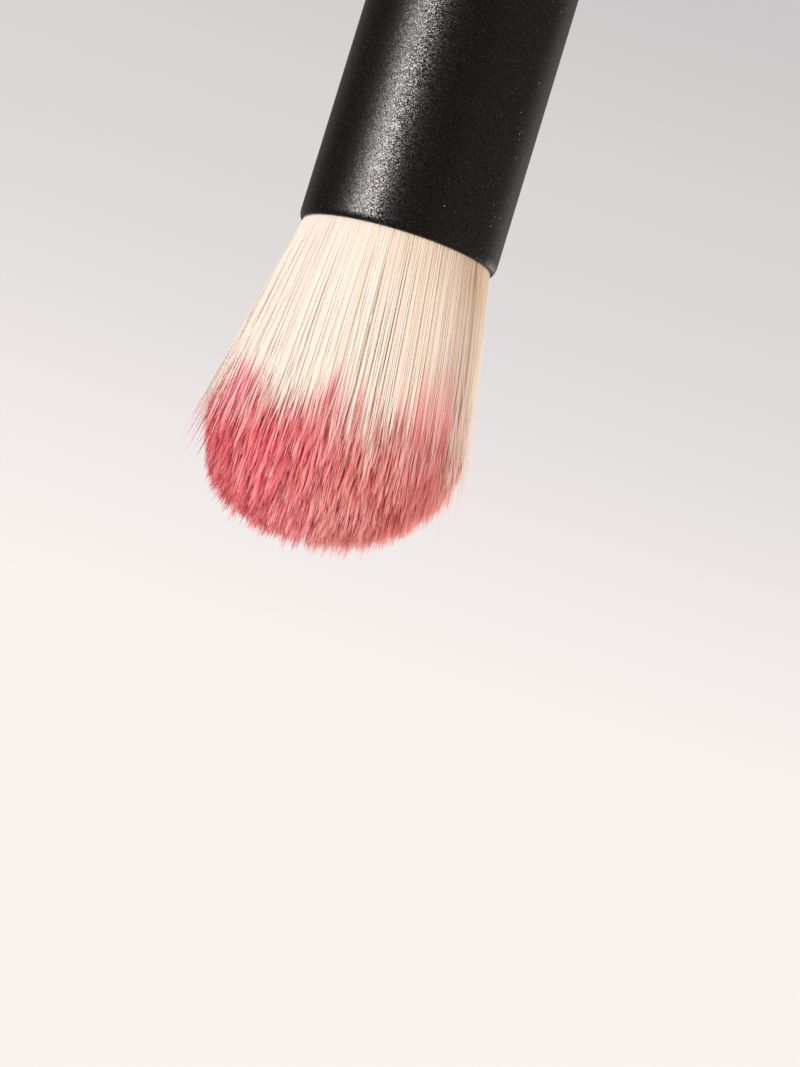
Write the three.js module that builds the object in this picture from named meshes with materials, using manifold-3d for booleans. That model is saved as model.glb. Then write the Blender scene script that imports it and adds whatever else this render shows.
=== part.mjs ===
// Blending brush: a domed tuft of soft hair, cast in resin inside a drawn metal ferrule
// that is cemented and crimped on the tenon of a turned, lacquered handle.
// Millimetres, +Z up. The origin is the centre of the handle's flat end, and the tuft points up.
import * as THREE from "three";
import { mergeVertices } from "three/addons/utils/BufferGeometryUtils.js";
import Module from "manifold-3d";

const wasm = await Module();
wasm.setup();

// Driving dimensions of the ferrule
const ferruleDiameter = 12;
const ferruleLength = 36;
const ferruleWall = 0.3;
const lipInset = 0.24;
const lipDepth = 0.6;
const boreEdgeRound = 0.06;

// Driving dimensions of the crimps that grip the tenon
const crimpCount = 2;
const crimpWidth = 1.8;
const crimpDepth = 0.3;
const crimpPitch = 3.6;
const firstCrimpHeight = 5;

// Driving dimensions of the handle
const handleVisibleLength = 96;
const gripDiameter = 13.4;
const gripBelowShoulder = 24;
const waistDiameter = 10.2;
const waistHeight = 30;
const endDiameter = 10.4;
const endRound = 1.1;
const seamChamfer = 0.3;
const tenonLength = 16;
const tenonChamfer = 0.5;

// Driving dimensions of the tuft
const hairExposedLength = 18.6;
const bellyDiameter = 15.8;
const bellyAboveMouth = 11.8;
const lengthSpread = 0.5;
const ringsOfLocks = 10;
const locksPerRingStep = 6;
const lockFillShare = 0.42;
const taperStartShare = 0.7;

// How round the dome is, and how soon the tuft flares above the mouth
const domeFullness = 2.3;
const flareEvenness = 0.8;

// Driving dimensions of what holds the roots and the tenon
const rootSliceHeight = 1.5;
const resinPlugHeight = 6.4;
const threadDiameter = 0.36;
const threadTurns = 8;
const bindingAboveRoots = 0.4;
const cementThickness = 0.2;
const fitClearance = 0.1;

// Fineness of the round forms
const roundSegments = 48;
const curveSteps = 7;
const crimpSteps = 4;
const arcSteps = 4;

// Stations along the axis
const shoulderHeight = handleVisibleLength;
const ferruleFoot = shoulderHeight + fitClearance;
const mouthHeight = ferruleFoot + ferruleLength;
const tenonTop = shoulderHeight + tenonLength;
const plugFoot = tenonTop + fitClearance;
const plugTop = plugFoot + resinPlugHeight;
const sliceFoot = plugTop + fitClearance;
const rootHeight = sliceFoot + rootSliceHeight;
const bindingFoot = rootHeight + bindingAboveRoots;
const bindingTop = bindingFoot + threadDiameter * threadTurns;
const bellyHeight = mouthHeight + bellyAboveMouth;

// Radii, each from what it fits in
const ferruleRadius = ferruleDiameter / 2;
const boreRadius = ferruleRadius - ferruleWall;
const insideBore = boreRadius - fitClearance;
const cementInner = insideBore - cementThickness;
const tenonRadius = cementInner - fitClearance;
const bindingInner = insideBore - threadDiameter;
const tuftAtBinding = bindingInner - fitClearance;
const tuftAtBelly = bellyDiameter / 2;

const materials = {
  blackMetal: new THREE.MeshStandardMaterial({ color: 0x1a1715, roughness: 0.42, metalness: 0.35 }),
  blackLacquer: new THREE.MeshStandardMaterial({ color: 0x171413, roughness: 0.38, metalness: 0 }),
  hair: new THREE.MeshStandardMaterial({ color: 0xf6e7d3, roughness: 0.6, metalness: 0 }),
  thread: new THREE.MeshStandardMaterial({ color: 0xe9e2d2, roughness: 0.8, metalness: 0 }),
  resin: new THREE.MeshStandardMaterial({ color: 0xd9b46a, roughness: 0.25, metalness: 0 }),
  cement: new THREE.MeshStandardMaterial({ color: 0xcfc6ae, roughness: 0.5, metalness: 0 }),
};

const at = (radius, height) => new THREE.Vector2(radius, height);

// Turns an outline of radius and height round the axis.
function turned(outline) {
  const geometry = new THREE.LatheGeometry(outline, roundSegments);
  geometry.rotateX(Math.PI / 2);
  return geometry;
}

// A geometry as a solid that can be joined to others.
function solidOf(geometry) {
  const shape = geometry.clone();
  shape.deleteAttribute("normal");
  shape.deleteAttribute("uv");
  const merged = mergeVertices(shape);
  return new wasm.Manifold(
    new wasm.Mesh({
      numProp: 3,
      vertProperties: new Float32Array(merged.attributes.position.array),
      triVerts: new Uint32Array(merged.index.array),
    }),
  );
}

function geometryOf(solid) {
  const mesh = solid.getMesh();
  const geometry = new THREE.BufferGeometry();
  geometry.setAttribute("position", new THREE.BufferAttribute(mesh.vertProperties, mesh.numProp));
  geometry.setIndex(new THREE.BufferAttribute(mesh.triVerts, 1));
  return geometry;
}

const crimpMiddle = (crimp) => ferruleFoot + firstCrimpHeight + crimp * crimpPitch;

// How far the crimps press the ferrule, the cement and the tenon in at a height.
function crimpDip(height) {
  for (let crimp = 0; crimp < crimpCount; crimp++) {
    const away = height - crimpMiddle(crimp);
    if (Math.abs(away) < crimpWidth / 2) {
      return (crimpDepth / 2) * (1 + Math.cos((2 * Math.PI * away) / crimpWidth));
    }
  }
  return 0;
}

// A straight wall from one height up to another, pressed in at each crimp between them.
function crimpedWall(radius, from, to) {
  const heights = [];
  for (let crimp = 0; crimp < crimpCount; crimp++) {
    for (let step = 0; step <= crimpSteps; step++) {
      heights.push(crimpMiddle(crimp) + crimpWidth * (step / crimpSteps - 1 / 2));
    }
  }
  const between = heights.filter((height) => height > from && height < to);
  return [from, ...between, to].map((height) => at(radius - crimpDip(height), height));
}

// A quarter of an ellipse between two corners of an outline: it leaves the first one upright.
function roundedCorner(from, to) {
  const points = [];
  for (let step = 0; step <= arcSteps; step++) {
    const angle = (Math.PI / 2) * (step / arcSteps);
    const radius = to.x + (from.x - to.x) * Math.cos(angle);
    points.push(at(radius, from.y + (to.y - from.y) * Math.sin(angle)));
  }
  return points;
}

// A smooth stretch of the handle that runs upright at both of its ends.
function easedSide(from, to) {
  const middle = (from.y + to.y) / 2;
  const curve = new THREE.CubicBezierCurve(from, at(from.x, middle), at(to.x, middle), to);
  return curve.getPoints(curveSteps).slice(1);
}

// The handle: a flat end to stand on, a slim waist, a fuller grip and the tenon.
function handleOutline() {
  const endEdge = at(endDiameter / 2, endRound);
  const waist = at(waistDiameter / 2, waistHeight);
  const grip = at(gripDiameter / 2, shoulderHeight - gripBelowShoulder);
  const shoulder = at(ferruleRadius, shoulderHeight - seamChamfer);
  return [
    at(0, 0),
    ...roundedCorner(endEdge, at(endEdge.x - endRound, 0)).reverse(),
    ...easedSide(endEdge, waist),
    ...easedSide(waist, grip),
    ...easedSide(grip, shoulder),
    at(ferruleRadius - seamChamfer, shoulderHeight),
    ...crimpedWall(tenonRadius, shoulderHeight, tenonTop - tenonChamfer),
    at(tenonRadius - tenonChamfer, tenonTop),
    at(0, tenonTop),
  ];
}

// The ferrule: a thin tube with a rounded lip at its mouth and crimps near its foot.
function ferruleOutline() {
  const outside = crimpedWall(ferruleRadius, ferruleFoot, mouthHeight - lipDepth);
  const lipEdge = at(ferruleRadius - lipInset, mouthHeight);
  const lip = roundedCorner(outside[outside.length - 1], lipEdge).slice(1);
  const inside = crimpedWall(boreRadius, ferruleFoot, mouthHeight - boreEdgeRound).reverse();
  return [...outside, ...lip, ...inside, outside[0].clone()];
}

// The cement between the tenon and the ferrule.
function cementOutline() {
  const foot = ferruleFoot + fitClearance;
  const top = tenonTop - tenonChamfer;
  const outside = crimpedWall(insideBore, foot, top);
  const inside = crimpedWall(cementInner, foot, top).reverse();
  return [...outside, ...inside, outside[0].clone()];
}

// The plug of resin that fills the ferrule between the tenon and the roots.
function plugOutline() {
  return [at(0, plugFoot), at(insideBore, plugFoot), at(insideBore, plugTop), at(0, plugTop)];
}

// The thread round the roots: one rib a turn, each turn against the next.
function bindingOutline() {
  const valley = insideBore - threadDiameter / 2;
  const points = [at(bindingInner, bindingFoot), at(valley, bindingFoot)];
  for (let turn = 0; turn < threadTurns; turn++) {
    const foot = bindingFoot + threadDiameter * turn;
    points.push(at(insideBore, foot + threadDiameter / 2));
    points.push(at(valley, foot + threadDiameter));
  }
  return [...points, at(bindingInner, bindingTop), points[0].clone()];
}

// Radius of the tuft's outside at a height: narrowest at the roots, widest at the belly.
function tuftRadius(height) {
  if (height <= mouthHeight) {
    const share = (height - bindingTop) / (mouthHeight - bindingTop);
    return tuftAtBinding + (insideBore - tuftAtBinding) * share;
  }
  const share = Math.min((height - mouthHeight) / bellyAboveMouth, 1);
  return insideBore + (tuftAtBelly - insideBore) * share ** flareEvenness;
}

// Where a lock of hair ends: the tips of all the locks lie on a dome.
function tipHeight(share) {
  const dome = (1 - share ** domeFullness) ** (1 / domeFullness);
  return bellyHeight + (hairExposedLength - bellyAboveMouth) * dome;
}

const lockSides = 3;
const goldenTurn = Math.PI * (3 - Math.sqrt(5));

// The tuft's radius holds the rings of locks, one step apart, and half of the outer locks.
const ringSteps = ringsOfLocks + lockFillShare;

// One lock of hair, from inside the root slice to its tip, as triangles added to a list.
function addLock(ring, place, inRing, corners) {
  const share = ring / ringsOfLocks;
  const angle = (2 * Math.PI * place) / inRing + ring * goldenTurn;
  const shorter = lengthSpread * ((place * goldenTurn) % 1) * (1 - share / 2);
  const tip = tipHeight(share) - shorter;
  const centreAt = (height) => {
    const reach = (tuftRadius(height) * ring) / ringSteps;
    return new THREE.Vector3(reach * Math.cos(angle), reach * Math.sin(angle), height);
  };
  const taperStart = mouthHeight + (tip - mouthHeight) * taperStartShare;
  const hoops = [sliceFoot + rootSliceHeight / 2, mouthHeight, taperStart].map((height) => {
    const thick = (tuftRadius(height) * lockFillShare) / ringSteps;
    return Array.from({ length: lockSides }, (_, side) => {
      const turn = angle + (2 * Math.PI * side) / lockSides;
      const out = new THREE.Vector3(thick * Math.cos(turn), thick * Math.sin(turn), 0);
      return centreAt(height).add(out);
    });
  });
  const [root, mouth, taper] = hoops;
  corners.push(root[0], root[2], root[1]);
  for (let side = 0; side < lockSides; side++) {
    const next = (side + 1) % lockSides;
    corners.push(root[side], root[next], mouth[next], root[side], mouth[next], mouth[side]);
    corners.push(mouth[side], mouth[next], taper[next], mouth[side], taper[next], taper[side]);
    corners.push(taper[side], taper[next], centreAt(tip));
  }
}

// The tuft: rings of locks, fused to the slice of resin that their roots are cast in.
function hairTuft() {
  const corners = [];
  for (let ring = 0; ring <= ringsOfLocks; ring++) {
    const inRing = Math.max(ring * locksPerRingStep, 1);
    for (let place = 0; place < inRing; place++) {
      addLock(ring, place, inRing, corners);
    }
  }
  const slice = turned([
    at(0, sliceFoot),
    at(insideBore, sliceFoot),
    at(insideBore, rootHeight),
    at(0, rootHeight),
  ]);
  const locks = new THREE.BufferGeometry().setFromPoints(corners);
  return geometryOf(solidOf(locks).add(solidOf(slice)));
}

const brush = new THREE.Group();

function addPiece(name, geometry, material) {
  const piece = new THREE.Mesh(geometry, material);
  piece.name = name;
  brush.add(piece);
}

addPiece("handle", turned(handleOutline()), materials.blackLacquer);
addPiece("tenon_cement", turned(cementOutline()), materials.cement);
addPiece("ferrule", turned(ferruleOutline()), materials.blackMetal);
addPiece("root_resin_plug", turned(plugOutline()), materials.resin);
addPiece("root_binding_thread", turned(bindingOutline()), materials.thread);
addPiece("hair_tuft", hairTuft(), materials.hair);

export default brush;
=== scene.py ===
# %% [markdown]
# # A blending brush, dressed for its portrait
# The brush is already built to size as six CAD pieces: handle, cement, ferrule, resin plug,
# binding thread and a tuft of 331 thick locks. Here each piece gets the surface that the
# real one has, and the locks give way to thousands of fine hairs. Every new piece takes its
# place from the CAD piece that it stands for, so nothing is fitted by eye.

# %% The frame
import math

import bmesh
import bpy
import numpy as np
from mathutils import Matrix, Vector


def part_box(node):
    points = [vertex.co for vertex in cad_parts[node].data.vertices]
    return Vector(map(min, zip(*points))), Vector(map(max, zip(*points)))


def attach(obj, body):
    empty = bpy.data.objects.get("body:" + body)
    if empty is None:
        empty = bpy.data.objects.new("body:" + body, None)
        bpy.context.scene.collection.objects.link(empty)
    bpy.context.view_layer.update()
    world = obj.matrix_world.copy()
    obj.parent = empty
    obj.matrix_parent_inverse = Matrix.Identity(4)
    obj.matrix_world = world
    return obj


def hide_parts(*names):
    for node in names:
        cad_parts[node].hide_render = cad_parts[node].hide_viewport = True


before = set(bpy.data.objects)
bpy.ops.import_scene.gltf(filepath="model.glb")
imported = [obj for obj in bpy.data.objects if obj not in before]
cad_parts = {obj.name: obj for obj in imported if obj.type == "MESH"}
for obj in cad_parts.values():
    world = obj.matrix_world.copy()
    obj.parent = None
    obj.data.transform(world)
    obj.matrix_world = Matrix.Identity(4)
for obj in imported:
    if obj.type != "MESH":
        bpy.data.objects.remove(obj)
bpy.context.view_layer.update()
MM = 0.001
chance = np.random.default_rng(17)

# %% [markdown]
# ## Measure first
# A maker measures the blank before decorating it. The corners of each CAD piece's box give
# the stations along the axis and the radii across it, and all later sizes start from them.
# A box can't tell how thick the ferrule's wall is, nor the gap that glued or pressed
# neighbours keep, so those two are written as in the CAD model.

# %% Stations and radii
handle_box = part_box("handle")
ferrule_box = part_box("ferrule")
thread_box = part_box("root_binding_thread")
tuft_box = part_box("hair_tuft")

MOUTH = ferrule_box[1].z
FERRULE_FOOT = ferrule_box[0].z
FERRULE_RADIUS = ferrule_box[1].x
WALL, FIT = 0.3 * MM, 0.1 * MM
BORE_RADIUS = FERRULE_RADIUS - WALL
TIP = tuft_box[1].z
ROOT = tuft_box[0].z
print("mouth at", round(MOUTH / MM, 1), "mm, tip at", round(TIP / MM, 1), "mm")

# %% [markdown]
# ## The camera
# The picture is tall, 800 by 1067 pixels. It looks at the brush from ten degrees on the
# tuft's side of the ferrule's mouth, and the brush hangs tuft down, leaning 17 degrees.
# Instead of turning the camera by trial, two right-angled sets of directions are compared:
# one in the camera's own space, made of the ray through the mouth's pixel and the way the
# tuft points in the picture, and the same two in the brush's space. The turn that takes one
# set to the other is the camera's.

# %% The camera's place and turn
PICTURE_WIDTH, PICTURE_HEIGHT = 800, 1067
MOUTH_PIXEL = (396.5, 247.5)
LEAN = math.radians(17.0)
LOOKS_DOWN = math.radians(10)
CAMERA_DISTANCE = 0.35
VIEW_HEIGHT = 0.0625
SENSOR_WIDTH = 36
SEEN_FROM, SEEN_TO = 0.01, 20


def directions(ahead, along):
    """A right-angled set: the way ahead, the part of along that is square to it, and their cross."""
    ahead = ahead.normalized()
    square = (along - along.dot(ahead) * ahead).normalized()
    return Matrix((ahead, square, ahead.cross(square))).transposed()


lens = bpy.data.cameras.new("portrait_camera")
lens.sensor_width = SENSOR_WIDTH
lens.lens = lens.sensor_width * CAMERA_DISTANCE / VIEW_HEIGHT
camera = bpy.data.objects.new("portrait_camera", lens)
bpy.context.scene.collection.objects.link(camera)
bpy.context.scene.camera = camera

pixel = lens.sensor_width / PICTURE_HEIGHT
ray = Vector((
    (MOUTH_PIXEL[0] - PICTURE_WIDTH / 2) * pixel,
    (PICTURE_HEIGHT / 2 - MOUTH_PIXEL[1]) * pixel,
    -lens.lens,
))
tuft_in_picture = Vector((-math.sin(LEAN), -math.cos(LEAN), 0))
sight = Vector((0, math.cos(LOOKS_DOWN), -math.sin(LOOKS_DOWN)))
turn = directions(sight, Vector((0, 0, 1))) @ directions(ray, tuft_in_picture).transposed()
camera_place = Vector((0, 0, MOUTH)) - sight * CAMERA_DISTANCE
camera.matrix_world = Matrix.Translation(camera_place) @ turn.to_4x4()
lens.clip_start, lens.clip_end = SEEN_FROM, SEEN_TO
print("lens", round(lens.lens), "mm, camera at", [round(v, 3) for v in camera.location])

# %% [markdown]
# ## Colours and node helpers
# Colours are written as a painter reads them off a screen, and turned into the linear
# numbers that shaders count in. A few small helpers keep each material short: one makes a
# node and fills its sockets, and the others build the sums, ramps and reliefs that the
# finishes use.


# %% Colour and node helpers
def linear(red, green, blue):
    """A screen colour, each part from 0 to 255, as linear numbers with full alpha."""
    parts = [part / 255 for part in (red, green, blue)]
    return tuple(
        part / 12.92 if part <= 0.04045 else ((part + 0.055) / 1.055) ** 2.4 for part in parts
    ) + (1.0,)


class Nodes:
    """A node tree, with short ways to add nodes to it and join them."""

    def __init__(self, tree):
        self.tree = tree

    def feed(self, socket, value):
        """Joins another node's output to a socket, or sets the socket to a plain value."""
        if isinstance(value, bpy.types.NodeSocket):
            self.tree.links.new(value, socket)
        else:
            socket.default_value = value

    def node(self, kind, settings=None, **inputs):
        """A new node. Inputs are named like its sockets, with _ for each space."""
        made = self.tree.nodes.new("ShaderNode" + kind)
        for setting, value in (settings or {}).items():
            setattr(made, setting, value)
        for socket, value in inputs.items():
            self.feed(made.inputs[socket.replace("_", " ")], value)
        return made

    def sum(self, operation, first, second=0.0, clamp=False):
        """The result of one operation on one or two numbers."""
        made = self.node("Math", {"operation": operation, "use_clamp": clamp})
        self.feed(made.inputs[0], first)
        self.feed(made.inputs[1], second)
        return made.outputs[0]

    def scaled(self, value, factor, offset=0.0):
        """The value times the factor, plus the offset."""
        made = self.node("Math", {"operation": "MULTIPLY_ADD"})
        for socket, number in zip(made.inputs, (value, factor, offset)):
            self.feed(socket, number)
        return made.outputs[0]

    def fade(self, value, start, end):
        """0 where the value is at the start and 1 where it is at the end, smoothly between."""
        smooth = {"interpolation_type": "SMOOTHSTEP"}
        return self.node("MapRange", smooth, Value=value, From_Min=start, From_Max=end).outputs[0]

    def blend(self, share, first, second):
        """The first colour, with this share of the second."""
        made = self.node("Mix", {"data_type": "RGBA"}, Factor=share)
        self.feed(made.inputs[6], first)
        self.feed(made.inputs[7], second)
        return made.outputs[2]

    def ramp(self, share, *stops):
        """A colour that follows stops, each (place, colour)."""
        made = self.node("ValToRGB", Fac=share)
        ramp = made.color_ramp
        while len(ramp.elements) < len(stops):
            ramp.elements.new(1.0)
        for element, (place, colour) in zip(ramp.elements, stops):
            element.position, element.color = place, colour
        return made.outputs["Color"]

    def own_place(self):
        """Where a point lies on its piece, in metres."""
        return self.node("TexCoord").outputs["Object"]

    def noise(self, size, detail, place=None):
        """Soft random lumps of about this size."""
        place = place or self.own_place()
        return self.node("TexNoise", Vector=place, Scale=1 / size, Detail=detail).outputs["Fac"]

    def relief(self, height, strength, depth):
        """The normal of a surface that rises and falls with this height."""
        return self.node("Bump", Strength=strength, Distance=depth, Height=height).outputs[0]


class Finish(Nodes):
    """A material, with a way to set its main shader and to mix another in."""

    def __init__(self, name):
        self.material = bpy.data.materials.new(name)
        self.material.use_nodes = True
        super().__init__(self.material.node_tree)
        self.shader = self.tree.nodes["Principled BSDF"]

    def set(self, **inputs):
        """Feeds the main shader's sockets, named like them with _ for each space."""
        for socket, value in inputs.items():
            self.feed(self.shader.inputs[socket.replace("_", " ")], value)

    def mix_in(self, share, other):
        """Shows the main shader with this share of another."""
        mixed = self.node("MixShader")
        self.feed(mixed.inputs[0], share)
        self.feed(mixed.inputs[1], self.shader.outputs[0])
        self.feed(mixed.inputs[2], other.outputs[0])
        self.feed(self.tree.nodes["Material Output"].inputs["Surface"], mixed.outputs[0])


print("a screen's middle grey counts as", round(linear(128, 128, 128)[0], 3))

# %% [markdown]
# ## Floor, world and lamps
# The portrait's background is a pale sweep that grows lighter and warmer with distance. A
# wide floor takes that from how far a point lies from the brush, and the world carries the
# same pale on past the floor's edge. Camera, glossy and transmission rays see those colours
# as written, while the lamps and a plain world light the object. Near the brush the floor
# is a lit surface, so that it keeps the shadow.
#
# A photographer keeps the room behind the camera dark when the subject is black, or its
# middle would turn grey. So gloss sees the sweep behind the brush at a part of its strength,
# brighter on the picture's right, a faint wall on that side, and hardly anything in front.

# %% What each ray sees of the sweep
SWEEP = [
    (0.30, linear(203, 199, 200)), (0.50, linear(206, 201, 202)), (0.62, linear(216, 213, 212)),
    (0.80, linear(223, 219, 219)), (1.07, linear(238, 233, 232)), (1.50, linear(250, 244, 240)),
]
RIGHTWARD, BEHIND = (-0.2, -1.0), (0.3, 1.0)
DIM_ROOM, PALE_WALL = 0.015, 0.13
LEFT_SWEEP, RIGHT_SWEEP = 0.28, 0.75


def shown_strength(nodes, way):
    """How a ray that leaves the brush this way sees the background.

    Gives whether the ray shows it at all, how strongly, and whether it isn't a glossy ray.
    """
    path = nodes.node("LightPath").outputs
    gloss = path["Is Glossy Ray"]
    shows = nodes.sum("ADD", path["Is Camera Ray"], gloss, clamp=True)
    shows = nodes.sum("ADD", shows, path["Is Transmission Ray"], clamp=True)
    ways = nodes.node("SeparateXYZ", Vector=way).outputs
    right = nodes.fade(ways["X"], *RIGHTWARD)
    sweep = nodes.scaled(right, RIGHT_SWEEP - LEFT_SWEEP, LEFT_SWEEP)
    beside = nodes.scaled(right, PALE_WALL, DIM_ROOM)
    bright = nodes.scaled(nodes.fade(ways["Y"], *BEHIND), sweep, beside)
    not_gloss = nodes.sum("SUBTRACT", 1.0, gloss)
    return shows, nodes.scaled(gloss, bright, not_gloss), not_gloss


print("the sweep runs from", SWEEP[0][0], "to", SWEEP[-1][0], "m from the brush")

# %% [markdown]
# ### The floor
# A square plane would do, but its corners could show from above, so the floor is a wide
# disc. Its main shader is lit and holds the brush's shadow close by. A glow of the same
# colour takes over farther out, where the sweep has to look as it is written.

# %% The floor
FLOOR_REACH, FLOOR_SIDES = 14.0, 96
LIT_WITHIN, SHOWN_BEYOND = 0.12, 0.5


def make_floor():
    """A wide disc that shows the sweep, and keeps the shadow where it is lit."""
    shape = bmesh.new()
    bmesh.ops.create_circle(shape, cap_ends=True, segments=FLOOR_SIDES, radius=FLOOR_REACH)
    mesh = bpy.data.meshes.new("floor")
    shape.to_mesh(mesh)
    shape.free()
    floor = bpy.data.objects.new("floor", mesh)
    bpy.context.scene.collection.objects.link(floor)
    sweep = Finish("pale_sweep")
    place = sweep.own_place()
    away = sweep.node("VectorMath", {"operation": "LENGTH"}, Vector=place).outputs["Value"]
    way = sweep.node("VectorMath", {"operation": "NORMALIZE"}, Vector=place).outputs[0]
    near, far = SWEEP[0][0], SWEEP[-1][0]
    share = sweep.sum("DIVIDE", sweep.sum("SUBTRACT", away, near), far - near, clamp=True)
    pale = sweep.ramp(share, *[((reach - near) / (far - near), colour) for reach, colour in SWEEP])
    sweep.set(Base_Color=pale, Roughness=0.9, Specular_IOR_Level=0.1)
    shows, strength, not_gloss = shown_strength(sweep, way)
    glow = sweep.node("Emission", Color=pale, Strength=strength)
    keeps_shadow = sweep.scaled(sweep.fade(away, SHOWN_BEYOND, LIT_WITHIN), not_gloss)
    sweep.mix_in(sweep.scaled(shows, sweep.sum("SUBTRACT", 1.0, keeps_shadow)), glow)
    sweep.material.cycles.emission_sampling = "NONE"
    mesh.materials.append(sweep.material)


make_floor()
print("floor", 2 * FLOOR_REACH, "m across")

# %% [markdown]
# ### The world
# The world is what a ray meets that hits nothing else. For most rays it is a plain soft
# light from all sides, and for the rays that show the background it takes the farthest pale
# of the sweep, so the floor's edge can't be seen.

# %% The world
AMBIENT = 0.87


def make_world():
    """A plain level of light, with the sweep's farthest pale for the rays that show it."""
    world = bpy.data.worlds.new("studio")
    bpy.context.scene.world = world
    world.use_nodes = True
    room = Nodes(world.node_tree)
    backdrop = world.node_tree.nodes["Background"]
    shows, strength, _ = shown_strength(room, room.node("TexCoord").outputs["Generated"])
    lit = room.scaled(shows, -AMBIENT, AMBIENT)
    room.feed(backdrop.inputs["Strength"], room.scaled(shows, strength, lit))
    backdrop.inputs["Color"].default_value = SWEEP[-1][1]
    world.cycles.sampling_method = "NONE"


make_world()
print("world at a strength of", AMBIENT)

# %% [markdown]
# ### The lamps
# Three softboxes face the tuft. The key is small and close, on the picture's left, so that
# its highlight on the ferrule stays narrow. A weak rim light stands behind, on the right. The
# fill is a large card on the right that lightens the hair. Gloss doesn't see it, because it
# would lay a second streak on the black.


# %% The lamps
def make_lamp(name, side_angle, height_angle, distance, width, height, power, colour):
    """A softbox that faces the tuft. Angles are seen from the tuft: to the picture's left, and up."""
    lamp = bpy.data.lights.new(name, "AREA")
    lamp.shape, lamp.size, lamp.size_y = "RECTANGLE", width, height
    lamp.energy, lamp.color = power, colour[:3]
    box = bpy.data.objects.new(name, lamp)
    side, up = math.radians(side_angle), math.radians(height_angle)
    out = Vector((math.sin(side) * math.cos(up), -math.cos(side) * math.cos(up), math.sin(up)))
    box.location = Vector((0, 0, MOUTH)) + out * distance
    box.rotation_euler = out.to_track_quat("Z", "Y").to_euler()
    box.visible_camera = False
    bpy.context.scene.collection.objects.link(box)
    return box


make_lamp(
    "key_softbox", side_angle=50, height_angle=-4, distance=0.6,
    width=0.2, height=0.17, power=2.12, colour=linear(255, 253, 251),
)
make_lamp(
    "rim_softbox", side_angle=-142, height_angle=6, distance=0.9,
    width=0.25, height=0.3, power=0.4, colour=linear(255, 250, 246),
)
fill = make_lamp(
    "fill_card", side_angle=-45, height_angle=10, distance=0.9,
    width=0.7, height=0.5, power=6.0, colour=linear(255, 250, 236),
)
fill.visible_glossy = False
bpy.context.scene.view_settings.view_transform = "Standard"

# %% [markdown]
# ## Turned pieces
# Ferrule and handle are round, so each is one outline spun about the brush's axis. The CAD
# pieces have 48 flat sides, which would show as stripes in a highlight. The same outlines
# are spun again here in many finer steps, with the small radii a coated edge really has.
# Spin makes the whole skin from one line of points, which a screw modifier could do too, but
# this way the mesh is final at once. Doubled points at the seam and on the axis are merged,
# and then the faces are turned outwards.

# %% Spinning an outline
SPIN_STEPS, WELD = 160, 1e-7
SMOOTH_BELOW = math.radians(35)
ROUND_STEPS = 5


def rounded(start, end, steps):
    """A quarter of an ellipse of (radius, height) points, that leaves its start upright."""
    angles = [math.pi / 2 * step / steps for step in range(steps + 1)]
    across, up = start[0] - end[0], end[1] - start[1]
    return [(end[0] + across * math.cos(angle), start[1] + up * math.sin(angle)) for angle in angles]


def link_mesh(name, shape):
    """An object of this shape, smooth except over its sharp edges."""
    mesh = bpy.data.meshes.new(name)
    shape.to_mesh(mesh)
    shape.free()
    mesh.shade_smooth()
    mesh.set_sharp_from_angle(angle=SMOOTH_BELOW)
    piece = bpy.data.objects.new(name, mesh)
    bpy.context.scene.collection.objects.link(piece)
    return piece


def spun(name, outline, closed, steps=SPIN_STEPS):
    """Spins an outline of (radius, height) points about the axis, once round."""
    shape = bmesh.new()
    corners = [shape.verts.new((radius, 0, height)) for radius, height in outline]
    for here, there in zip(corners, corners[1:]):
        shape.edges.new((here, there))
    if closed:
        shape.edges.new((corners[-1], corners[0]))
    bmesh.ops.spin(
        shape, geom=shape.verts[:] + shape.edges[:], cent=(0, 0, 0), axis=(0, 0, 1),
        angle=math.tau, steps=steps, use_merge=True,
    )
    bmesh.ops.remove_doubles(shape, verts=shape.verts[:], dist=WELD)
    bmesh.ops.recalc_face_normals(shape, faces=shape.faces[:])
    return link_mesh(name, shape)


print("outlines are spun in", SPIN_STEPS, "steps")

# %% [markdown]
# ### Handing a piece over
# A finished piece gets its finish and hangs on the body that carries it, which is the one
# root here, and the CAD nodes that it stands for, if any, are hidden. A helper does all
# three, so that no piece is left without one.


# %% Finish, body and nodes
def paint(piece, finish):
    """Gives a piece this finish in place of any material it has."""
    piece.data.materials.clear()
    piece.data.materials.append(finish.material)
    print(piece.name, "wears", finish.material.name + ",", len(finish.tree.nodes), "nodes")


def finish_piece(piece, finish, slot, *nodes):
    """Gives a piece its finish, hangs it on the one body and hides its CAD nodes. The slot is not used."""
    paint(piece, finish)
    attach(piece, "root")
    if nodes:
        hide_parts(*nodes)


# %% [markdown]
# ## The ferrule
# A ferrule is a drawn metal tube. Its mouth is rounded over so that it can't cut the hair,
# and two crimps near its foot bite into the handle. The outline walks up the outside, over
# the lip and down the bore, and closes on itself, so the tube has a real wall.

# %% The ferrule's outline
LIP_INSET, LIP_DEPTH = 0.24 * MM, 0.6 * MM
FOOT_ROUND = 0.08 * MM
CRIMP_HEIGHTS = [FERRULE_FOOT + 5 * MM, FERRULE_FOOT + 8.6 * MM]
CRIMP_WIDTH, CRIMP_DEPTH = 1.8 * MM, 0.3 * MM
CRIMP_STEPS, LIP_STEPS = 20, 12


def crimped(radius, low, high):
    """A wall from low up to high, pressed in at each crimp."""
    points = [(radius, low)]
    for middle in CRIMP_HEIGHTS:
        for step in range(CRIMP_STEPS + 1):
            share = step / CRIMP_STEPS
            dip = CRIMP_DEPTH / 2 * (1 - math.cos(math.tau * share))
            points.append((radius - dip, middle + CRIMP_WIDTH * (share - 0.5)))
    return points + [(radius, high)]


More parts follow.
